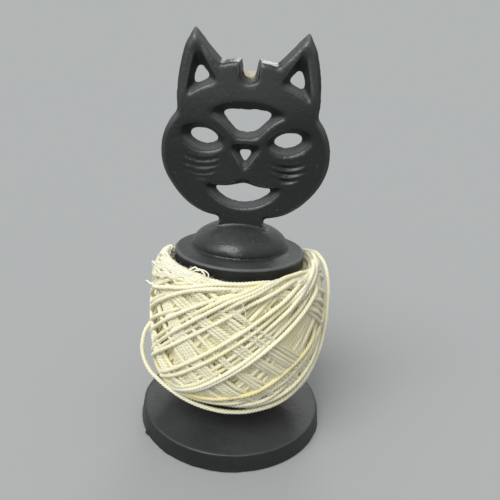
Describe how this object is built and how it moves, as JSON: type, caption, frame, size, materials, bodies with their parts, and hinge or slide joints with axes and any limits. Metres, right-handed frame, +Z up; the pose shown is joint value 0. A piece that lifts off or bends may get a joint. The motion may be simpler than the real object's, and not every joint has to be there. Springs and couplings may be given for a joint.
{
  "type": "string holder",
  "caption": "Counter-top string holder: a cast iron foot and spindle carry a turning ball of string under a screw-on cast head with a cat face and a cutter behind its notch.",
  "frame": {"origin": "middle of the foot's underside, on the surface it stands on", "axes": "+Z up along the spindle, -Y the way the face looks, +X to the right when looking at the face"},
  "size_m": [0.1001, 0.1, 0.2022],
  "materials": {
    "black_iron": "satin black finish on a sand-cast surface, worn at the edges",
    "steel": "plain turned steel, slightly dull",
    "card": "spirally wound grey-brown card",
    "cotton": "twisted undyed cotton, yellowed in places"
  },
  "bodies": {
    "base": {"base_casting": "black_iron", "spindle": "steel", "base_washer": "steel", "base_nut": "steel"},
    "head": {"head_casting": "black_iron", "cutter_blade": "steel", "cutter_screws": "steel"},
    "string_ball": {"core_tube": "card", "string_ball": "cotton", "string_winding": "cotton"}
  },
  "joints": [
    {"name": "ball_spin", "type": "hinge", "parent": "base", "child": "string_ball", "pos_m": [0, 0, 0.05], "axis": [0, 0, 1], "continuous": true},
    {"name": "head_lift", "type": "slide", "parent": "base", "child": "head", "axis": [0, 0, 1], "range_m": [0, 0.1]}
  ]
}
